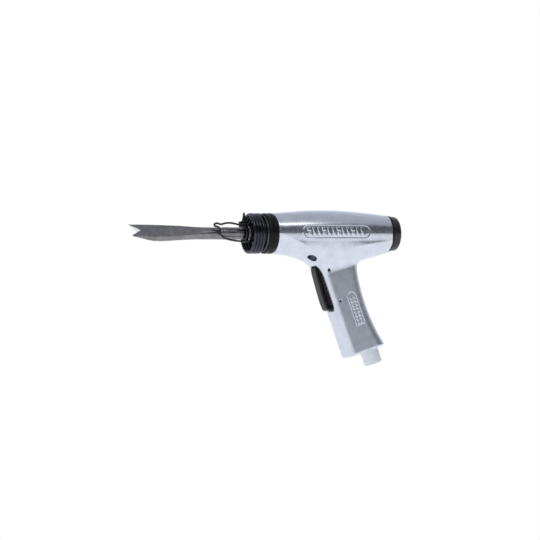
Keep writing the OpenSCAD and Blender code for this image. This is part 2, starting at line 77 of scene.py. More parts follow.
# ---- the grip's own frame: x square to the front strap, z up the grip ----
LEAN = math.radians(18.5)
GRIP_ORIGIN = (0.75, -5.5)
STRAP_X = 120.5
BASE_Z = -125.5
PIVOT = (112.6, -8.1)
BUSH_PIN = (111.2, -51.5)
THROTTLE_Z = -43.9
INLET_X = 87.1
SPRING_X = (81.5, 90.9)
TRIGGER_HALF_W = 8.3
TRIGGER_PIN_R = 1.9
BUSH_PIN_R = 1.5
PIN_HALF_L = 17.7
GRIP_PLACE = Matrix.Translation((GRIP_ORIGIN[0], 0, GRIP_ORIGIN[1])) @ Matrix.Rotation(LEAN, 4, "Y")


# ---- distance fields: negative inside, in millimetres ----

def smooth_max(a, b, k):
    """The larger of two distances, with the edge between them rounded over a width k."""
    h = np.maximum(k - np.abs(a - b), 0) / k
    return np.maximum(a, b) + h * h * k / 4


def smooth_min(a, b, k):
    """The smaller of two distances, with the corner between them filled over a width k."""
    return -smooth_max(-a, -b, k)


def between(value, low, high):
    """Distance outside the slab from low to high."""
    return np.abs(value - (low + high) / 2) - (high - low) / 2


def ramp(x, x0, x1, v0, v1):
    """A straight line between two values, held at its ends."""
    return v0 + (v1 - v0) * np.clip((x - x0) / (x1 - x0), 0, 1)


def step_up(x, x0, x1):
    """0 before x0, 1 after x1, smooth between."""
    t = np.clip((x - x0) / (x1 - x0), 0, 1)
    return t * t * (3 - 2 * t)


def rod(p, start, end, radius):
    """A straight round rod with flat ends."""
    start, end = np.array(start, float), np.array(end, float)
    length = np.linalg.norm(end - start)
    way = (end - start) / length
    along = sum((p[i] - start[i]) * way[i] for i in range(3))
    off = np.sqrt(sum((p[i] - start[i] - along * way[i]) ** 2 for i in range(3)))
    return np.maximum(off - radius, between(along, 0, length))


def polygon_field(u, v, points):
    """Distance to a closed outline in a plane, negative inside."""
    nearest = np.full(np.shape(u), np.inf)
    inside = np.zeros(np.shape(u), bool)
    for (au, av), (bu, bv) in zip(points, points[1:] + points[:1]):
        eu, ev = bu - au, bv - av
        t = np.clip(((u - au) * eu + (v - av) * ev) / (eu * eu + ev * ev), 0, 1)
        nearest = np.minimum(nearest, (u - au - eu * t) ** 2 + (v - av - ev * t) ** 2)
        crosses = (av > v) != (bv > v)
        inside ^= crosses & (u < au + eu * (v - av) / (ev if ev else 1.0))
    return np.where(inside, -1, 1) * np.sqrt(nearest)


def arc(centre, radius, first, last, count):
    """Points of an arc in a plane, with its angles in degrees."""
    turns = np.radians(np.linspace(first, last, count + 1))
    return [(centre[0] + radius * math.cos(a), centre[1] + radius * math.sin(a)) for a in turns]


# ---- meshes ----

def new_piece(name, points, faces):
    """A smooth-shaded mesh object from points in millimetres."""
    mesh = bpy.data.meshes.new(name)
    mesh.from_pydata(np.asarray(points, float) * MM, [], faces)
    mesh.validate()
    mesh.shade_smooth()
    piece = bpy.data.objects.new(name, mesh)
    bpy.context.scene.collection.objects.link(piece)
    return piece


def weigh_normals(piece):
    """Flat faces keep a flat shade beside their rounded edges."""
    piece.modifiers.new("face_weight", "WEIGHTED_NORMAL").keep_sharp = True
    return piece


def moved(points, place):
    """Points moved by a placing matrix in millimetres."""
    return points @ np.array(place.to_3x3()).T + np.array(place.translation)


def slope_of(field, points, reach=0.05):
    """The field's gradient at each point."""
    grad = np.empty_like(points)
    for axis in range(3):
        off = np.zeros(3)
        off[axis] = reach
        grad[:, axis] = (field(*(points + off).T) - field(*(points - off).T)) / (2 * reach)
    return grad


def settle(field, points, rounds=3):
    """Points moved on to the field's zero surface."""
    for _ in range(rounds):
        grad = slope_of(field, points)
        size = np.maximum((grad ** 2).sum(1), 0.25)
        points = points - grad * np.clip(field(*points.T) / size, -0.6, 0.6)[:, None]
    return points


def solid(name, field, low, high, voxel, place=None):
    """A closed quad mesh of the surface where a distance field is zero."""
    counts = [int(math.ceil((b - a) / voxel)) + 1 for a, b in zip(low, high)]
    axes = [a + voxel * np.arange(n) for a, n in zip(low, counts)]
    values = np.empty(counts, np.float32)
    for i, x in enumerate(axes[0]):
        y, z = np.meshgrid(axes[1], axes[2], indexing="ij")
        values[i] = field(np.full_like(y, x), y, z)
    grid = openvdb.FloatGrid(background=3 * voxel)
    grid.copyFromArray(np.clip(values, -3 * voxel, 3 * voxel))
    points, quads = grid.convertToQuads(isovalue=0.0)
    points = settle(field, points.astype(float) * voxel + np.array(low))
    a, b, c = (points[quads[:, k]] for k in range(3))
    outward = (np.cross(b - a, c - b) * slope_of(field, (a + c) / 2)).sum()
    if outward < 0:
        quads = quads[:, ::-1]
    if place is not None:
        points = moved(points, place)
    return new_piece(name, points, quads.tolist())


def rounded(corners, steps=5):
    """A line through (u, v, rounding) corners, each rounded by a short curve; the list closes on itself."""
    line = []
    for i, (u, v, size) in enumerate(corners):
        at = np.array((u, v), float)
        before = np.array(corners[i - 1][:2], float)
        after = np.array(corners[(i + 1) % len(corners)][:2], float)
        if size == 0:
            line.append(tuple(at))
            continue
        into, out = before - at, after - at
        start = at + into * min(size / np.linalg.norm(into), 0.48)
        end = at + out * min(size / np.linalg.norm(out), 0.48)
        for t in np.linspace(0, 1, steps):
            line.append(tuple((1 - t) ** 2 * start + 2 * t * (1 - t) * at + t * t * end))
    return line


def turned(name, profile, sides=160, place=None, ribs=0, rib_depth=0.0):
    """A closed (radius, distance) outline turned about +X, then placed; ribs wave its radius."""
    angle = 2 * np.pi * np.arange(sides) / sides
    wave = rib_depth * np.cos(ribs * angle) if ribs else np.zeros(sides)
    points, faces = [], []
    for radius, x in profile:
        r = radius + wave * (radius > 0)
        points += list(np.stack([np.full(sides, x), r * np.cos(angle), r * np.sin(angle)], 1))
    rows = len(profile)
    for i in range(rows):
        j = (i + 1) % rows
        if profile[i][0] == 0 and profile[j][0] == 0:
            continue
        for k in range(sides):
            n = (k + 1) % sides
            faces.append((i * sides + k, i * sides + n, j * sides + n, j * sides + k))
    points = np.array(points)
    if place is not None:
        points = moved(points, place)
    piece = new_piece(name, points, faces)
    merge(piece)
    return weigh_normals(piece)


def merge(piece, gap=1e-7):
    """Joins points that lie on each other, such as those at a pole, and turns the faces outward."""
    shape = bmesh.new()
    shape.from_mesh(piece.data)
    bmesh.ops.remove_doubles(shape, verts=shape.verts, dist=gap)
    bmesh.ops.recalc_face_normals(shape, faces=shape.faces)
    shape.to_mesh(piece.data)
    shape.free()
    piece.data.shade_smooth()


def smooth_path(points, steps):
    """A Catmull-Rom line through points."""
    p = np.array([points[0]] + list(points) + [points[-1]], float)
    line = []
    for i in range(1, len(p) - 2):
        for t in np.arange(steps) / steps:
            line.append(0.5 * (
                2 * p[i] + (p[i + 1] - p[i - 1]) * t
                + (2 * p[i - 1] - 5 * p[i] + 4 * p[i + 1] - p[i + 2]) * t ** 2
                + (3 * p[i] - 3 * p[i + 1] + p[i + 2] - p[i - 1]) * t ** 3))
    line.append(p[-2])
    return np.array(line)


def wire(name, path, radius, sides=18, end_round=0.35):
    """A round wire along a path, with its cut ends rounded a little."""
    path = np.asarray(path, float)
    ways = np.gradient(path, axis=0)
    ways /= np.linalg.norm(ways, axis=1)[:, None]
    side = np.cross(ways[0], (0.31, 0.2, 0.93))
    rings = []
    for at, way in zip(path, ways):
        side = side - way * (side @ way)
        side /= np.linalg.norm(side)
        rings.append((at, way, side, radius))
    ends = []
    for (at, way, side, _), sign in ((rings[0], 1), (rings[-1], -1)):
        bend = [
            (at + sign * way * end_round * (1 - math.sin(a)), way, side, radius - end_round * (1 - math.cos(a)))
            for a in np.radians((90, 60, 30))
        ]
        ends.append(bend)
    inner = [ring for ring in rings if min(
        np.linalg.norm(ring[0] - path[0]), np.linalg.norm(ring[0] - path[-1])) > end_round]
    rings = ends[0] + inner + ends[1][::-1]
    turns = 2 * np.pi * np.arange(sides) / sides
    points = []
    for at, way, side, r in rings:
        up = np.cross(way, side)
        points += [at + r * (math.cos(t) * side + math.sin(t) * up) for t in turns]
    faces = [
        (i * sides + k, i * sides + (k + 1) % sides, (i + 1) * sides + (k + 1) % sides, (i + 1) * sides + k)
        for i in range(len(rings) - 1) for k in range(sides)
    ]
    last = (len(rings) - 1) * sides
    faces.append(tuple(range(sides))[::-1])
    faces.append(tuple(range(last, last + sides)))
    piece = new_piece(name, points, faces)
    merge(piece)
    return weigh_normals(piece)


# ---- materials ----

class Finish:
    """A procedural material on one Principled shader, in the object's own metres."""

    def __init__(self, name, colour, roughness, metallic=0.0, **sockets):
        self.material = bpy.data.materials.new(name)
        self.material.use_nodes = True
        self.tree = self.material.node_tree
        self.shader = self.tree.nodes["Principled BSDF"]
        self.place = self.tree.nodes.new("ShaderNodeTexCoord").outputs["Object"]
        self.set("Base Color", (*colour, 1))
        self.set("Roughness", roughness)
        self.set("Metallic", metallic)
        for socket, value in sockets.items():
            self.set(socket.replace("_", " "), value)

    def set(self, socket, value):
        self.shader.inputs[socket].default_value = value

    def node(self, kind, **settings):
        made = self.tree.nodes.new(kind)
        for key, value in settings.items():
            setattr(made, key, value)
        return made

    def link(self, source, target):
        self.tree.links.new(source, target)

    def noise(self, size_mm, detail=3.0, stretch=(1, 1, 1), lean=0.0, rough=0.55):
        """Noise with features of a size in millimetres, drawn out along an axis by stretch."""
        mapping = self.node("ShaderNodeMapping")
        mapping.inputs["Rotation"].default_value = (0, lean, 0)
        mapping.inputs["Scale"].default_value = [1 / s for s in stretch]
        self.link(self.place, mapping.inputs["Vector"])
        made = self.node("ShaderNodeTexNoise")
        made.inputs["Scale"].default_value = 1 / (size_mm * MM)
        made.inputs["Detail"].default_value = detail
        made.inputs["Roughness"].default_value = rough
        self.link(mapping.outputs["Vector"], made.inputs["Vector"])
        return made.outputs["Fac"]

    def edges(self, low=0.5, high=0.62):
        """1 on outward edges, 0 elsewhere, from the mesh's own curvature."""
        made = self.node("ShaderNodeNewGeometry")
        return self.level(made.outputs["Pointiness"], low, high)

    def level(self, source, low, high, out_low=0.0, out_high=1.0):
        """A source's range from low to high spread over out_low to out_high."""
        made = self.node("ShaderNodeMapRange")
        for socket, value in zip(("From Min", "From Max", "To Min", "To Max"), (low, high, out_low, out_high)):
            made.inputs[socket].default_value = value
        self.link(source, made.inputs["Value"])
        return made.outputs["Result"]

    def blend(self, factor, a, b):
        """A colour between two, by a factor; each is a colour or a socket."""
        made = self.node("ShaderNodeMix", data_type="RGBA")
        self.link(factor, made.inputs["Factor"])
        for socket, value in (("A", a), ("B", b)):
            target = next(s for s in made.inputs if s.name == socket and s.type == "RGBA")
            if isinstance(value, tuple):
                target.default_value = (*value, 1)
            else:
                self.link(value, target)
        return next(s for s in made.outputs if s.type == "RGBA")

    def maths(self, operation, a, b):
        made = self.node("ShaderNodeMath", operation=operation)
        for index, value in enumerate((a, b)):
            if isinstance(value, (int, float)):
                made.inputs[index].default_value = value
            else:
                self.link(value, made.inputs[index])
        return made.outputs["Value"]

    def bump(self, *layers):
        """Bump layers of (height, depth in millimetres), one on another."""
        normal = None
        for height, depth in layers:
            made = self.node("ShaderNodeBump")
            made.inputs["Strength"].default_value = 1.0
            made.inputs["Distance"].default_value = depth * MM
            self.link(height, made.inputs["Height"])
            if normal is not None:
                self.link(normal, made.inputs["Normal"])
            normal = made.outputs["Normal"]
        self.link(normal, self.shader.inputs["Normal"])

    def colour(self, source):
        self.link(source, self.shader.inputs["Base Color"])

    def roughness(self, source):
        self.link(source, self.shader.inputs["Roughness"])


def worn_metal(name, dark, light, rough, wear=None, wave_depth=0.05):
    """Metal with cloudy colour, fine grain, long faint marks and, where given, wear along its edges."""
    grain_depth = 0.012
    made = Finish(name, light, sum(rough) / 2, 1.0)
    clouds = made.noise(9, 4)
    grain = made.noise(0.5, 3)
    marks = made.noise(1.1, 2, stretch=(14, 1, 1))
    tone = made.blend(made.level(clouds, 0.35, 0.68), dark, light)
    gloss = made.level(made.maths("ADD", grain, clouds), 0.75, 1.3, *rough)
    if wear:
        tone = made.blend(made.edges(), tone, wear)
    made.colour(tone)
    made.roughness(gloss)
    made.bump((clouds, wave_depth), (marks, grain_depth * 1.2), (grain, grain_depth))
    return made.material


def cast_aluminium():
    """Cast aluminium, polished on the barrel and more satin down the grip."""
    made = Finish("cast_aluminium", (0.72, 0.75, 0.82), 0.34, 1.0)
    clouds = made.noise(14, 4)
    ripple = made.noise(4.5, 3)
    grain = made.noise(0.45, 3)
    strokes = made.noise(0.9, 3, stretch=(22, 1, 1))
    grip_strokes = made.noise(0.9, 3, stretch=(1, 1, 16), lean=-LEAN)
    split = made.node("ShaderNodeSeparateXYZ")
    made.link(made.place, split.inputs["Vector"])
    down = made.level(split.outputs["Z"], -0.030, -0.062)
    tone = made.blend(made.level(clouds, 0.3, 0.7), (0.64, 0.67, 0.74), (0.74, 0.77, 0.84))
    # Painted shade: the colour darkens in the mesh's inward creases, where shade falls.
    tone = made.blend(made.edges(0.47, 0.40), tone, (0.42, 0.44, 0.50))
    # Outward edges lighter: partly rubbed bright metal, partly a painted highlight.
    tone = made.blend(made.edges(0.53, 0.62), tone, (0.86, 0.88, 0.92))
    made.colour(tone)
    base = made.level(down, 0, 1, 0.23, 0.38)
    spread = made.level(made.maths("ADD", grain, ripple), 0.7, 1.3, -0.06, 0.08)
    made.roughness(made.maths("ADD", base, spread))
    along = made.blend(down, strokes, grip_strokes)
    made.bump((clouds, 0.014), (ripple, 0.006), (along, 0.003), (grain, 0.002))
    return made.material


def rubber(name, colour, rough, grain_depth, **sockets):
    """Moulded rubber or plastic with a fine matt grain and dusty patches."""
    made = Finish(name, colour, rough, 0.0, **sockets)
    patches = made.noise(7, 4)
    grain = made.noise(0.35, 2)
    lighter = tuple(c * 1.6 + 0.002 for c in colour)
    made.colour(made.blend(made.level(patches, 0.4, 0.75), colour, lighter))
    made.roughness(made.level(made.maths("ADD", patches, grain), 0.7, 1.4, rough - 0.08, rough + 0.12))
    made.bump((patches, 0.04), (grain, grain_depth))
    return made.material


def chisel_steel():
    """Dark heat-treated steel, with bright ground faces where the mesh says so."""
    made = Finish("chisel_steel", (0.20, 0.195, 0.205), 0.42, 1.0)
    clouds = made.noise(12, 5)
    scale = made.noise(1.6, 4)
    draw = made.noise(0.8, 3, stretch=(26, 1, 1))
    ground = made.node("ShaderNodeAttribute", attribute_name="ground").outputs["Fac"]
    grind = made.noise(0.25, 2, stretch=(1, 6, 6))
    tone = made.blend(made.level(clouds, 0.3, 0.7), (0.20, 0.195, 0.205), (0.30, 0.292, 0.305))
    tone = made.blend(made.level(scale, 0.56, 0.7), tone, (0.12, 0.112, 0.115))
    tone = made.blend(made.edges(0.54, 0.66), tone, (0.42, 0.41, 0.42))
    made.colour(made.blend(ground, tone, (0.78, 0.78, 0.80)))
    rough = made.level(made.maths("ADD", scale, clouds), 0.7, 1.3, 0.28, 0.44)
    made.roughness(made.maths("SUBTRACT", rough, made.maths("MULTIPLY", ground, 0.16)))
    made.bump((clouds, 0.08), (draw, 0.012), (scale, 0.018), (made.maths("MULTIPLY", ground, grind), 0.02))
    return made.material


def clear_cap():
    """Milky translucent polyethylene with faint flow marks."""
    made = Finish("milky_plastic", (0.86, 0.93, 1.0), 0.34, 0.0, Transmission_Weight=0.15, IOR=1.50)
    flow = made.noise(5, 3, stretch=(1, 1, 3), lean=-LEAN)
    grain = made.noise(0.5, 2)
    made.colour(made.blend(made.level(flow, 0.35, 0.7), (0.88, 0.94, 0.99), (0.95, 0.98, 1.0)))
    made.roughness(made.level(grain, 0.35, 0.7, 0.30, 0.44))
    made.bump((flow, 0.08), (grain, 0.01))
    return made.material


aluminium = cast_aluminium()
black_paint = rubber("satin_black", (0.008, 0.009, 0.012), 0.30, 0.006, Specular_IOR_Level=0.55)
nose_rubber = rubber("black_rubber", (0.003, 0.004, 0.005), 0.38, 0.008, Specular_IOR_Level=0.2)
seal_rubber = rubber("seal_rubber", (0.004, 0.004, 0.005), 0.45, 0.008, Specular_IOR_Level=0.3)
trigger_plastic = rubber("trigger_black", (0.002, 0.002, 0.003), 0.20, 0.005, Specular_IOR_Level=0.28)
wire_lacquer = worn_metal("lacquered_wire", (0.010, 0.012, 0.017), (0.028, 0.032, 0.042), (0.18, 0.30),
                          wear=(0.16, 0.17, 0.2), wave_depth=0.03)
black_steel = worn_metal("black_oxide", (0.012, 0.012, 0.014), (0.030, 0.030, 0.033), (0.28, 0.42),
                         wear=(0.22, 0.22, 0.23))
valve_steel = worn_metal("ground_steel", (0.40, 0.40, 0.42), (0.55, 0.55, 0.57), (0.24, 0.40))
bright_steel = worn_metal("polished_steel", (0.58, 0.58, 0.60), (0.72, 0.72, 0.74), (0.14, 0.28))
bronze = worn_metal("machined_bronze", (0.40, 0.27, 0.12), (0.62, 0.45, 0.22), (0.24, 0.42), wear=(0.8, 0.64, 0.4))
zinc = worn_metal("zinc_plate", (0.58, 0.61, 0.66), (0.74, 0.77, 0.80), (0.20, 0.36), wear=(0.85, 0.86, 0.88))
steel = chisel_steel()
milky = clear_cap()


def fit(piece, body, slot, material, *nodes):
    """Gives a piece its material and its body, and hides the CAD nodes it stands for; the slot argument is not used."""
    piece.data.materials.append(material)
    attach(piece, body)
    if nodes:
        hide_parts(*nodes)
    return piece


# ---- housing ----

def barrel_radius(x):
    """The barrel's radius: widest between its middle and its front, on two quarter waves."""
    x = np.clip(x, RIM_X, FRONT_X)
    rear = REAR_R + (BARREL_R - REAR_R) * np.sin(np.pi / 2 * (x - RIM_X) / (WIDE_X - RIM_X))
    fore = FRONT_R + (BARREL_R - FRONT_R) * np.cos(np.pi / 2 * (x - WIDE_X) / (FRONT_X - WIDE_X))
    return np.where(x < WIDE_X, rear, fore)


def to_grip(x, z):
    """A place in the grip's own frame."""
    x, z = x - GRIP_ORIGIN[0], z - GRIP_ORIGIN[1]
    return x * math.cos(LEAN) - z * math.sin(LEAN), x * math.sin(LEAN) + z * math.cos(LEAN)


def from_grip(gx, gz):
    """A place in the tool's frame."""
    x, z = gx * math.cos(LEAN) + gz * math.sin(LEAN), gz * math.cos(LEAN) - gx * math.sin(LEAN)
    return x + GRIP_ORIGIN[0], z + GRIP_ORIGIN[1]


def grip_field(gx, y, gz):
    """The grip: rounded at the back, with crisper corners at the front strap."""
    hollow_x, hollow_z, hollow_r = 74, -66, 226
    back = hollow_x - (gz - hollow_z) ** 2 / (2 * hollow_r)
    middle, half = (STRAP_X + back) / 2, (STRAP_X - back) / 2
    corner = np.where(gx > middle, 6.5, 14.0)
    qx = np.abs(gx - middle) - half + corner
    qy = np.abs(y) - GRIP_HALF_W + corner
    section = np.hypot(np.maximum(qx, 0), np.maximum(qy, 0)) + np.minimum(np.maximum(qx, qy), 0) - corner
    top_z = 14
    return smooth_max(np.maximum(section, gz - top_z), BASE_Z - gz, 3.5)


def neck_field(x, y, z):
    """The prow that carries the barrel: nearly upright flanks, and an underside that falls away to each side."""
    tuck, bend_half_w = 0.9, 27.6
    upper = np.abs(y) - (barrel_radius(x) - tuck + 0.035 * (z + 4))
    lower = np.abs(y) - (bend_half_w + 0.33 * (z + 25))
    side = smooth_max(upper, lower, 4)
    half_w = 26
    across = (y / half_w) ** 2
    front = 0.459 * (x - 116) - 0.888 * (z + 44) + 9 * across
    rear = -0.263 * (x - 54) - 0.965 * (z + 36.3) + 16 * across
    neck = smooth_max(smooth_max(front, rear, 3), side, 2)
    return np.maximum(neck, z + 2)


def skin_field(x, y, z):
    """The housing's outside: barrel, neck and grip."""
    gx, gz = to_grip(x, z)
    body = np.hypot(y, z) - barrel_radius(x)
    blend = 1.5 + 9 * np.clip(1 - (y / 22) ** 2, 0, 1) * ramp(x, 18, 60, 0.1, 1)
    body = smooth_min(body, neck_field(x, y, z), blend)
    body = smooth_min(body, grip_field(gx, y, gz), 12)
    body = smooth_max(body, RIM_X - x, 1.2)
    return smooth_max(body, x - FRONT_X, 1.8)


def barrel_bore_field(x, y, z):
    """Bore for cap, valve and cylinder, with its exhaust gallery and nose counterbore."""
    cap, valve, cylinder, gallery, nose = (20, 0, 31), (18, 30, 74), (15.6, 73, 166), (18.5, 108, 142), (19.2, 165, 200)
    off = np.hypot(y, z)
    return np.minimum.reduce([
        np.maximum(off - radius, between(x, start, end))
        for radius, start, end in (cap, valve, cylinder, gallery, nose)])


def exhaust_field(x, y, z):
    """Two holes that blow forward, outward and down."""
    way = np.array((0.5975, 0.3386, -0.7269))
    mouth = np.array((128, 16.5, -33.6))
    inward, outward, radius = 19, 17, 6
    return rod((x, np.abs(y), z), mouth - inward * way, mouth + outward * way, radius)


def grip_bore_field(x, y, z):
    """Trigger slot, pin holes, throttle bore and air inlet."""
    gx, gz = to_grip(x, z)
    play, pin_play = 0.5, 0.05
    slot_x, slot_z, hub_r = 114.2, (-61.2, 2), 6.1
    side = np.abs(y) - TRIGGER_HALF_W - play
    from_pivot = np.hypot(gx - PIVOT[0], gz - PIVOT[1])
    slot = np.maximum.reduce([slot_x - gx, between(gz, *slot_z), side])
    pocket = np.maximum(from_pivot - hub_r, side)
    top = np.maximum.reduce([PIVOT[0] - gx, between(gz, PIVOT[1] - hub_r, slot_z[1]), side])
    pins = np.minimum(
        from_pivot - TRIGGER_PIN_R - pin_play,
        np.hypot(gx - BUSH_PIN[0], gz - BUSH_PIN[1]) - BUSH_PIN_R - pin_play)
    throttle = np.hypot(y, gz - THROTTLE_Z)
    throttle = np.minimum(
        np.maximum(throttle - 6, between(gx, SPRING_X[0], 98)), np.maximum(throttle - 8.02, between(gx, 97, 125)))
    inlet = np.hypot(gx - INLET_X, y)
    inlet = np.minimum.reduce([
        np.maximum(inlet - 9.02, between(gz, BASE_Z - 9, -107.5)),
        np.maximum(inlet - 7, between(gz, -108, -50)),
        np.maximum(inlet - 3.5, between(gz, -52, -44))])
    passage = rod((x, y, z), (87, 0, -74), (66, 0, -16), 4)
    return np.minimum.reduce([slot, pocket, top, pins, throttle, inlet, passage])


def housing_field(x, y, z):
    """The skin with every bore cut from it, each edge slightly rounded."""
    body = smooth_max(skin_field(x, y, z), -exhaust_field(x, y, z), 1.0)
    body = smooth_max(body, -barrel_bore_field(x, y, z), 1.0)
    return smooth_max(body, -grip_bore_field(x, y, z), 0.9)


def make_housing():
    low, high = span("housing")
    voxel = 0.85
    piece = solid("housing_body", housing_field, low - 3.1, high + 3.1, voxel)
    fit(piece, "tool", "housing", aluminium, "housing")


# ---- raised marks on the housing ----

def relief(name, to_place, height, a_range, b_range, step):
    """A closed patch that rises from the housing's left side; height is in millimetres over (a, b)."""
    a, b = (np.arange(r[0], r[1] + step / 2, step) for r in (a_range, b_range))
    a, b = np.meshgrid(a, b, indexing="ij")
    rows, columns = a.shape
    points = np.stack(to_place(a.ravel(), b.ravel()), 1)
    depth, drops = 1.6, 24
    for _ in range(drops):
        points[:, 1] -= skin_field(*points.T)
    normals = slope_of(skin_field, points)
    normals /= np.linalg.norm(normals, axis=1)[:, None]
    top = points + normals * height(a, b).ravel()[:, None]
    bottom = points - normals * depth
    count = rows * columns
    index = np.arange(count).reshape(rows, columns)
    quads = np.stack([index[:-1, :-1], index[1:, :-1], index[1:, 1:], index[:-1, 1:]], -1).reshape(-1, 4)
    border = np.concatenate([index[:, 0], index[-1, 1:], index[-2::-1, -1], index[0, -2:0:-1]])
    following = np.roll(border, -1)
    wall = np.stack([border, following, following + count, border + count], 1)
    piece = new_piece(name, np.concatenate([top, bottom]), np.concatenate(
        [quads, quads[:, ::-1] + count, wall]).tolist())
    merge(piece)
    fit(piece, "tool", "housing", aluminium)


def bar_height(a, b, at, half, lean, rise):
    """A raised slanted bar with soft sides."""
    u, v = a - at[0] - lean * (b - at[1]), b - at[1]
    d = np.hypot(np.maximum(np.abs(u) - half[0], 0), np.maximum(np.abs(v) - half[1], 0)) - 0.5
    return rise * (1 - step_up(d, -0.45, 0.35))


def badge_height(a, b):
    """An oval plate with a rim, and a row of slanted bars as plain decoration."""
    ends = (57, 137)
    half_h = 9.4
    outline = np.hypot(a - np.clip(a, *ends), b) - half_h
    plate = 0.28 - 0.75 * step_up(outline, -0.3, 0.5)
    rim = 0.55 * (1 - step_up(np.abs(outline + 1.0), 0.35, 0.95))
    lean, rise, split = 0.3, 0.8, 3.3
    bars = np.zeros_like(a)
    for i in range(12):
        x = 60 + 6.9 * i
        if i % 3 == 2:
            for side in (-1, 1):
                at = (x - lean * split * side, -split * side)
                bars = np.maximum(bars, bar_height(a, b, at, (1.9, 1.5), lean, rise))
        else:
            bars = np.maximum(bars, bar_height(a, b, (x, 0), (1.2, 4.9), lean, rise))
    return plate + np.maximum(rim, bars)


def panel_height(a, b):
    """An arched plate with a rim and rows of short bars."""
    half_w, height = 7.0, 39.5
    outline = np.where(
        b > height, np.hypot(a, b - height) - half_w, np.maximum(np.abs(a) - half_w, -b))
    plate = 0.18 - 0.6 * step_up(outline, -0.3, 0.4)
    rim = 0.5 * (1 - step_up(np.abs(outline + 0.8), 0.25, 0.8))
    bars = np.zeros_like(a)
    for row in range(8):
        for column in (-1, 1):
            at = (column * (2.3 + 0.3 * (row % 2)), 3.8 + 4.8 * row)
            bars = np.maximum(bars, bar_height(a, b, at, (1.1 - 0.3 * (row % 2), 1.0), 0.15, 0.45))
    return plate + np.maximum(rim, bars)


def make_marks():
    """Badge and panel, both on the left side only; each starts clear of the skin and is drawn on to it."""
    panel_x, panel_z = 93.6, -90.1

    def on_barrel(a, b):
        return a, np.full_like(a, 45.0), b

    def on_grip(a, b):
        x, z = from_grip(panel_x + a, b + panel_z)
        return x, np.full_like(a, 30.0), z

    relief("housing_badge", on_barrel, badge_height, (45, 149), (-11.2, 11.2), 0.4)
    relief("housing_panel", on_grip, panel_height, (-8.2, 8.2), (-1.2, 47.8), 0.35)


# ---- rear cap, seals and nose ring ----

def cap_field(x, y, z):
    """Screwed cap: flanged, hollow, with two blind spanner holes in its flat face."""
    off = np.hypot(y, z)
    flange = smooth_max(off - ramp(x, 1.5, 9.8, 22.1, 23), between(x, 0, CAP_FLANGE_X), 1.2)
    flange = smooth_max(flange, (off - 20.6 - x) * 0.707, 1.2)
    plug = smooth_max(off - 19.9, between(x, CAP_FLANGE_X - 3, 28), 0.8)
    hollow = np.maximum(off - ramp(x, 6, 12, 12, 15), 6 - x)
    holes = rod((x, np.abs(y), z), (-1, 12.5, 0), (3, 12.5, 0), 2)
    cap = smooth_max(smooth_min(flange, plug, 0.6), -hollow, 0.8)
    return smooth_max(cap, -holes, 0.7)


def make_cap_and_rings():
    """Rear cap, the seal in front of it, and the nose ring with its groove."""
    cap = solid("rear_cap_body", cap_field, (-1.1, -24.1, -24.1), (29.6, 24.1, 24.1), 0.55)
    fit(cap, "tool", "black_cap", black_paint, "rear_cap")
    inner, outer, lip = 20.1, 23.9, 1.2
    seal = rounded([
        (inner, CAP_FLANGE_X, 0.3), (outer, CAP_FLANGE_X, lip), (outer, RIM_X, lip), (inner, RIM_X, 0.3)])
    fit(turned("cap_seal_ring", seal), "tool", "seal", seal_rubber, "cap_seal")
    low, high = span("nose_ring")[0][0], span("nose_ring")[1][0]
    middle = (low + high) / 2
    inner, groove_r = 22.3, NOSE_R - 1.1
    ring = rounded([
        (inner, low, 0.4), (NOSE_R, low, 2.4), (NOSE_R, middle - 1.5, 0.8), (groove_r, middle - 0.5, 0.5),
        (groove_r, middle + 0.5, 0.5), (NOSE_R, middle + 1.5, 0.8), (NOSE_R, high, 2.4), (inner, high, 0.4)])
    fit(turned("nose_ring_rubber", ring), "tool", "rubber", nose_rubber, "nose_ring")


# ---- coil, bail and catch ----

def make_coil():
    """The close-wound retainer coil on the nose."""
    radius, turns, pitch, steps = 2.0, 4, 4.1, 80
    mean_r = NOSE_R - radius
    start_x = span("retainer_coil")[0][0] + radius
    first = np.radians(60)
    angle = first + 2 * np.pi * np.arange(turns * steps + 1) / steps
    path = np.stack([
        start_x + pitch * np.arange(len(angle)) / steps, mean_r * np.cos(angle), mean_r * np.sin(angle)], 1)
    fit(wire("retainer_coil_wire", path, radius - 0.02, 20), "tool", "spring_wire", wire_lacquer, "retainer_coil")


def make_bail():
    """The spring-wire loop across the front of the chisel's collar, turning in two ears."""
    pivot = (206.5, 12.0)
    ends = (15.9, 12.2, 11.4)
    loop = [
        (208.2, 11.6, 10.8), (214, 10.9, 11), (222, 10.4, 10.8), (228, 10.1, 10.7), (233, 9.8, 11.8),
        (240, 9.5, 12.9), (247, 9.6, 12.4), (253, 9.9, 11), (258.5, 10.3, 12.3), (262.3, 10.5, 11.2),
        (262, 10.7, 8.8), (258, 10.7, 7.8), (255, 10.5, 5.4), (254.7, 10.4, 0), (251.6, 10.2, -4.8),
        (245.3, 10, -7.9), (235.4, 9.9, -9.9), (226, 10.1, -11), (216, 10.8, -11.2), (208.4, 11.6, -10.8)]
    route = [(*pivot, z) for z in ends] + loop + [(*pivot, -z) for z in ends[::-1]]
    piece = wire("retaining_bail_wire", smooth_path(route, 10), 1.3, 16, 0.3)
    fit(piece, "bail", "spring_wire", wire_lacquer, "retaining_bail")


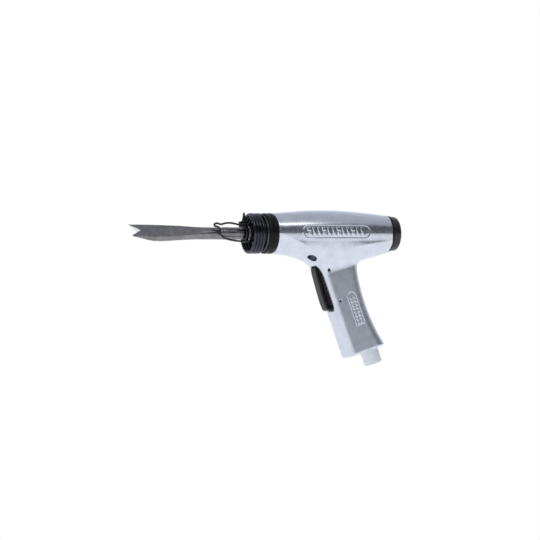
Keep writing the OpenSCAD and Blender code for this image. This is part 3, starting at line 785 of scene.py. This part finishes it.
def catch_field(x, y, z):
    """Crimped block with an upright, tapering thumb tab, and a half-round yoke beside the chisel."""
    block = smooth_max(smooth_max(between(x, 217.4, 227.5), between(y, 7.5, 13.5), 1.6), between(z, 7, 15), 1.6)
    half = ramp(z, 15, 21, 3.2, 1.6) - ramp(z, 21, 26.6, 0, 0.9)
    tab = smooth_max(np.abs(x - 220.3) - half, between(y, 8.75, 12.25), 1.0)
    tab = smooth_max(tab, between(z, 13, 26.5), 1.2)
    off = np.hypot(y, z)
    yoke = smooth_max(smooth_max(off - 13.45, 11.35 - off, 0.8), between(x, 214.65, 218.6), 0.8)
    yoke = smooth_max(yoke, 3.1 - y, 0.8)
    body = smooth_min(smooth_min(block, tab, 1.4), yoke, 0.6)
    channel = rod((x, y, z), (211.5, 11.1, 11.1), (231, 10, 10.8), 1.5)
    groove = smooth_max(between(z, 10.6, 11.3), 13 - y, 0.4)
    return smooth_max(smooth_max(body, -channel, 0.4), -groove, 0.4)


def make_catch():
    """The catch, meshed finely for its small edges."""
    piece = solid("bail_catch_block", catch_field, (213.5, 1.8, -14.8), (228.8, 14.8, 27.8), 0.32)
    fit(piece, "bail", "black_steel", black_steel, "bail_catch")


# ---- chisel ----

FORK_TURN = math.radians(-48)
SHANK_R = 5.1
COLLAR_R = 9.75
STEM_R = 8.0
APEX_X = CHISEL_X1 - 14.5
NOTCH_HALF = math.atan2(10.6, 15.5)


def notch_field(x, w):
    """Distance past the wall of the fork's V notch, positive in the notch."""
    return (x - APEX_X) * math.sin(NOTCH_HALF) - np.abs(w) * math.cos(NOTCH_HALF)


def fork_field(x, w, n):
    """The fork: a round bar that flattens on one face and thins to its tips from the other."""
    half_w = STEM_R - 0.1 + 3.7 * step_up(x, 275, 345) - 0.6 * step_up(x, 350, CHISEL_X1)
    face = ramp(x, 250, 322, STEM_R - 0.1, 4.9) + ramp(x, 340, CHISEL_X1, 0, 1.1)
    back = 0.1 - STEM_R - 1.6 * step_up(x, 290, 340) + (STEM_R + 5.7) * ramp(x, 335, CHISEL_X1, 0, 1) ** 1.4
    middle = ramp(x, 341, 347, 0, 1) * (face + back) / 2

    def oval(rise, height):
        k0 = np.sqrt((w / half_w) ** 2 + (rise / height) ** 2)
        k1 = np.sqrt((w / half_w ** 2) ** 2 + (rise / height ** 2) ** 2)
        return k0 * (k0 - 1) / np.maximum(k1, 1e-6)

    low = oval(np.minimum(n - middle, 0), middle - back)
    top = oval(np.maximum(n - middle, 0), np.maximum(face - middle, 0.5))
    flat = smooth_max(low, n - face, 2.0)
    round_bar = np.where(n > middle, top, low)
    fork = round_bar + (flat - round_bar) * step_up(x, 250, 315)
    fork = smooth_max(fork, between(x, 240, CHISEL_X1), 0.5)
    return smooth_max(fork, notch_field(x, w), 0.5)


def to_fork(y, z):
    """Width and height in the fork's own turned frame."""
    c, s = math.cos(FORK_TURN), math.sin(FORK_TURN)
    return y * c + z * s, z * c - y * s


def chisel_field(x, y, z):
    """Shank, collar, round stem and fork in one forging."""
    off = np.hypot(y, z)
    shank = smooth_max(off - SHANK_R, between(x, CHISEL_X0, 208), 1.2)
    collar = smooth_max(off - COLLAR_R, between(x, 205.5, 212.2), 1.8)
    stem = smooth_max(off - STEM_R, between(x, 206, 246), 0.6)
    bar = smooth_min(smooth_min(shank, collar, 0.25), stem, 1.2)
    return smooth_min(bar, fork_field(x, *to_fork(y, z)), 1.0)


def make_chisel():
    """The chisel, with its ground faces marked for its material."""
    voxel = 0.55
    piece = solid("chisel_forged", chisel_field, (CHISEL_X0 - 1.5, -13, -13), (CHISEL_X1 + 1.5, 13, 13), voxel)
    points = np.empty(len(piece.data.vertices) * 3)
    piece.data.vertices.foreach_get("co", points)
    x, y, z = points.reshape(-1, 3).T / MM
    w, _ = to_fork(y, z)
    ground = np.maximum(
        step_up(notch_field(x, w), -0.5, -0.15) * step_up(x, APEX_X - 3, APEX_X - 1),
        step_up(x, CHISEL_X1 - 0.7, CHISEL_X1 - 0.2))
    piece.data.attributes.new("ground", "FLOAT", "POINT").data.foreach_set("value", ground.astype(np.float32))
    fit(piece, "chisel", "chisel_steel", steel, "chisel")


# ---- trigger, pins and dust cap ----

TRIGGER_LINE = (
    [(118, 0.6), (125.8, 0.6), (127.2, -6), (128.4, -22), (129.3, -38), (129.6, -47)]
    + arc((123.8, -54.2), 5.3, 10, -90, 8) + [(119.8, -59.5), (118.5, -58.2), (118.5, -17)]
    + arc(PIVOT, 5.5, -55, -270, 20))
TRIGGER_PANEL = [(120.6, -12), (124.2, -12), (125.8, -38), (125.6, -52.5), (121, -54)]


def trigger_field(x, y, z):
    """The lever in the grip's frame, with soft edges and a recessed panel in each side."""
    outline = polygon_field(x, z, TRIGGER_LINE)
    body = smooth_max(outline + 0.15, np.abs(y) - TRIGGER_HALF_W, 2.6)
    hole_play, recess_depth = 0.06, 1.1
    recess = smooth_max(polygon_field(x, z, TRIGGER_PANEL), TRIGGER_HALF_W - recess_depth - np.abs(y), 0.8)
    hole = np.hypot(x - PIVOT[0], z - PIVOT[1]) - TRIGGER_PIN_R - hole_play
    return smooth_max(smooth_max(body, -recess, 0.9), -hole, 0.5)


def make_trigger():
    """The lever, meshed in the grip's frame and placed."""
    piece = solid("trigger_lever", trigger_field, (105.9, -9.6, -61), (131.2, 9.6, 1.9), 0.5, GRIP_PLACE)
    fit(piece, "trigger", "trigger", trigger_plastic, "trigger")


def make_pins():
    """Cross pins with rounded ends."""
    across = Matrix.Rotation(math.pi / 2, 4, "Z")
    for name, at, radius in (("trigger_pin", PIVOT, TRIGGER_PIN_R), ("throttle_bush_pin", BUSH_PIN, BUSH_PIN_R)):
        profile = rounded([
            (0, -PIN_HALF_L, 0), (radius, -PIN_HALF_L, 0.5), (radius, PIN_HALF_L, 0.5), (0, PIN_HALF_L, 0)])
        piece = turned(name + "_bar", profile, 48, GRIP_PLACE @ Matrix.Translation((at[0], 0, at[1])) @ across)
        fit(piece, "tool", "black_steel", black_steel, name)


def make_dust_cap():
    """The push-on plastic cap over the air inlet, with a lip, faint ribs and a thick wall."""
    radius, wall, height = 12.4, 1.3, 19.2
    top = -(BASE_Z - 0.3)
    profile = rounded([
        (radius - wall, top, 0.3), (radius - 0.1, top, 0.4), (radius - 0.1, top + 2.2, 0.4),
        (radius - 0.5, top + 2.9, 0.4), (radius - 0.7, top + height, 2.6), (0, top + height, 0),
        (0, top + height - wall, 0), (radius - wall - 0.6, top + height - wall, 1.2)])
    down = Matrix.Translation((INLET_X, 0, 0)) @ Matrix.Rotation(math.pi / 2, 4, "Y")
    piece = turned("dust_cap_shell", profile, 192, GRIP_PLACE @ down, ribs=32, rib_depth=0.09)
    fit(piece, "inlet_cap", "cap_plastic", milky, "dust_cap")


def make_spring():
    """The throttle's spring, wound as one fixed helix; in the tool it shortens toward its fixed end as the trigger
    opens the poppet.
    """
    start, end = SPRING_X
    mean_r, wire_r, turns, steps = 4.0, 0.4, 5, 36
    share = np.arange(turns * steps + 1) / (turns * steps)
    angle = 2 * np.pi * turns * share
    path = np.stack([
        start + wire_r + (end - start - 2 * wire_r) * share,
        mean_r * np.cos(angle), THROTTLE_Z + mean_r * np.sin(angle)], 1)
    piece = wire("throttle_spring_wire", moved(path, GRIP_PLACE), wire_r, 12)
    fit(piece, "tool", "bright_steel", bright_steel, "throttle_spring")
    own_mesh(piece)


# ---- CAD nodes that keep their shape and get a better material ----

KEPT = {
    "thrust_ring": seal_rubber, "valve_box": valve_steel, "shuttle_valve": valve_steel,
    "valve_seat": valve_steel, "valve_dowel": bright_steel, "cylinder": black_steel,
    "cylinder_seals": seal_rubber, "piston": bright_steel, "chisel_bush": bronze,
    "throttle_bush": bronze, "throttle_stem": bright_steel, "throttle_seat": seal_rubber,
    "stem_seal": seal_rubber, "inlet_bush": zinc, "inlet_seal": seal_rubber, "inlet_screen": bronze,
}


def finish_kept_nodes():
    for name, material in KEPT.items():
        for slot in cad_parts[name].material_slots:
            slot.material = material


# ---- camera, light and floor ----

VIEW_AZIMUTH = math.radians(156)
VIEW_ELEVATION = math.radians(-4)
LENS_MM = 400
SENSOR_MM = 36
FRAME_WIDTH = 0.7018
AIM = Vector((0.18107, 0, -0.04758))
LIT_SPOT = Vector((0.17, 0, -0.04))
# The room's brightness by height, on the object's left and on its right.
NEAR_TONES = [
    (-1, 0.90), (-0.55, 0.82), (-0.28, 0.58), (-0.12, 0.27), (0.02, 0.11), (0.50, 0.10), (0.68, 0.46), (1, 0.52)]
FAR_TONES = [(-1, 0.90), (-0.30, 0.80), (0.0, 0.66), (0.5, 0.84), (1, 0.52)]


def view_back():
    """From the object to the camera."""
    c = math.cos(VIEW_ELEVATION)
    return Vector((math.sin(VIEW_AZIMUTH) * c, -math.cos(VIEW_AZIMUTH) * c, math.sin(VIEW_ELEVATION)))


def make_camera():
    """A long lens on the tool's left front, rolled so that the barrel lies level."""
    back = view_back()
    up = Vector((1, 0, 0)).cross(back).normalized()
    right = up.cross(back)
    data = bpy.data.cameras.new("camera")
    data.lens, data.sensor_width = LENS_MM, SENSOR_MM
    data.clip_end = 50
    camera = bpy.data.objects.new("camera", data)
    bpy.context.scene.collection.objects.link(camera)
    turned_to = Matrix((right, up, back)).transposed().to_4x4()
    distance = FRAME_WIDTH * LENS_MM / SENSOR_MM
    camera.matrix_world = Matrix.Translation(AIM + back * distance) @ turned_to
    bpy.context.scene.camera = camera


def make_light(name, toward, distance, size, power):
    """A soft rectangular light that looks at the tool from a direction."""
    data = bpy.data.lights.new(name, "AREA")
    data.shape = "RECTANGLE"
    data.size, data.size_y = size
    data.energy = power
    light = bpy.data.objects.new(name, data)
    bpy.context.scene.collection.objects.link(light)
    way = Vector(toward).normalized()
    light.location = LIT_SPOT + way * distance
    light.rotation_mode = "QUATERNION"
    light.rotation_quaternion = way.to_track_quat("Z", "Y")


def tone_ramp(nodes, links, height, stops):
    """A cool grey scale over (rise, level) stops, with rise from -1 below to 1 above."""
    made = nodes.new("ShaderNodeValToRGB")
    made.color_ramp.interpolation = "EASE"
    points = made.color_ramp.elements
    while len(points) < len(stops):
        points.new(0.5)
    for point, (rise, level) in zip(points, stops):
        point.position = (rise + 1) / 2
        point.color = (level * 0.93, level * 0.97, level * 1.07, 1)
    links.new(height, made.inputs["Fac"])
    return made.outputs["Color"]


def make_world():
    """Plain white behind the object; for reflections a bright table and ceiling with a darker room between."""
    mix_a, mix_b, mix_out = 6, 7, 2
    world = bpy.data.worlds.new("studio")
    bpy.context.scene.world = world
    world.use_nodes = True
    nodes, links = world.node_tree.nodes, world.node_tree.links
    background = nodes["Background"]
    split = nodes.new("ShaderNodeSeparateXYZ")
    links.new(nodes.new("ShaderNodeTexCoord").outputs["Generated"], split.inputs["Vector"])
    height = nodes.new("ShaderNodeMapRange")
    height.inputs["From Min"].default_value = -1
    links.new(split.outputs["Z"], height.inputs["Value"])

    near, far = (tone_ramp(nodes, links, height.outputs["Result"], stops) for stops in (NEAR_TONES, FAR_TONES))
    facing = nodes.new("ShaderNodeMapRange")
    facing.interpolation_type = "SMOOTHSTEP"
    facing.inputs["From Min"].default_value = -0.35
    facing.inputs["From Max"].default_value = 0.35
    links.new(split.outputs["Y"], facing.inputs["Value"])
    room = nodes.new("ShaderNodeMix")
    room.data_type = "RGBA"
    links.new(facing.outputs["Result"], room.inputs["Factor"])
    links.new(far, room.inputs[mix_a])
    links.new(near, room.inputs[mix_b])
    seen = nodes.new("ShaderNodeMix")
    seen.data_type = "RGBA"
    seen.inputs[mix_b].default_value = (1, 1, 1, 1)
    links.new(nodes.new("ShaderNodeLightPath").outputs["Is Camera Ray"], seen.inputs["Factor"])
    links.new(room.outputs[mix_out], seen.inputs[mix_a])
    links.new(seen.outputs[mix_out], background.inputs["Color"])


def make_floor():
    """A plain pale floor, clear from below."""
    half, low = 6.0, -0.30
    corners = [(-half, -half, low), (half, -half, low), (half, half, low), (-half, half, low)]
    floor = new_piece("floor", np.array(corners) / MM, [(0, 1, 2, 3)])
    paint = bpy.data.materials.new("pale_floor")
    paint.use_nodes = True
    nodes, links = paint.node_tree.nodes, paint.node_tree.links
    shader = nodes["Principled BSDF"]
    shader.inputs["Base Color"].default_value = (0.9, 0.9, 0.9, 1)
    shader.inputs["Roughness"].default_value = 0.9
    shader.inputs["Emission Color"].default_value = (1, 1, 1, 1)
    shader.inputs["Emission Strength"].default_value = 0.45
    clear = nodes.new("ShaderNodeBsdfTransparent")
    mix = nodes.new("ShaderNodeMixShader")
    links.new(nodes.new("ShaderNodeNewGeometry").outputs["Backfacing"], mix.inputs["Fac"])
    links.new(shader.outputs["BSDF"], mix.inputs[1])
    links.new(clear.outputs["BSDF"], mix.inputs[2])
    links.new(mix.outputs["Shader"], nodes["Material Output"].inputs["Surface"])
    floor.data.materials.append(paint)


make_camera()
make_world()
make_light("strip_light", (0.16, 1.0, 1.15), 1.6, (1.5, 0.2), 3.6)
make_light("front_fill", (1.0, 0.5, -0.12), 1.8, (0.9, 0.6), 1.5)
make_light("back_fill", (-0.5, -1.0, 0.35), 2.0, (1.4, 0.8), 2.0)
make_floor()
bpy.context.scene.view_settings.view_transform = "Standard"

make_housing()
make_marks()
make_cap_and_rings()
make_coil()
make_bail()
make_catch()
make_chisel()
make_trigger()
make_pins()
make_dust_cap()
make_spring()
finish_kept_nodes()
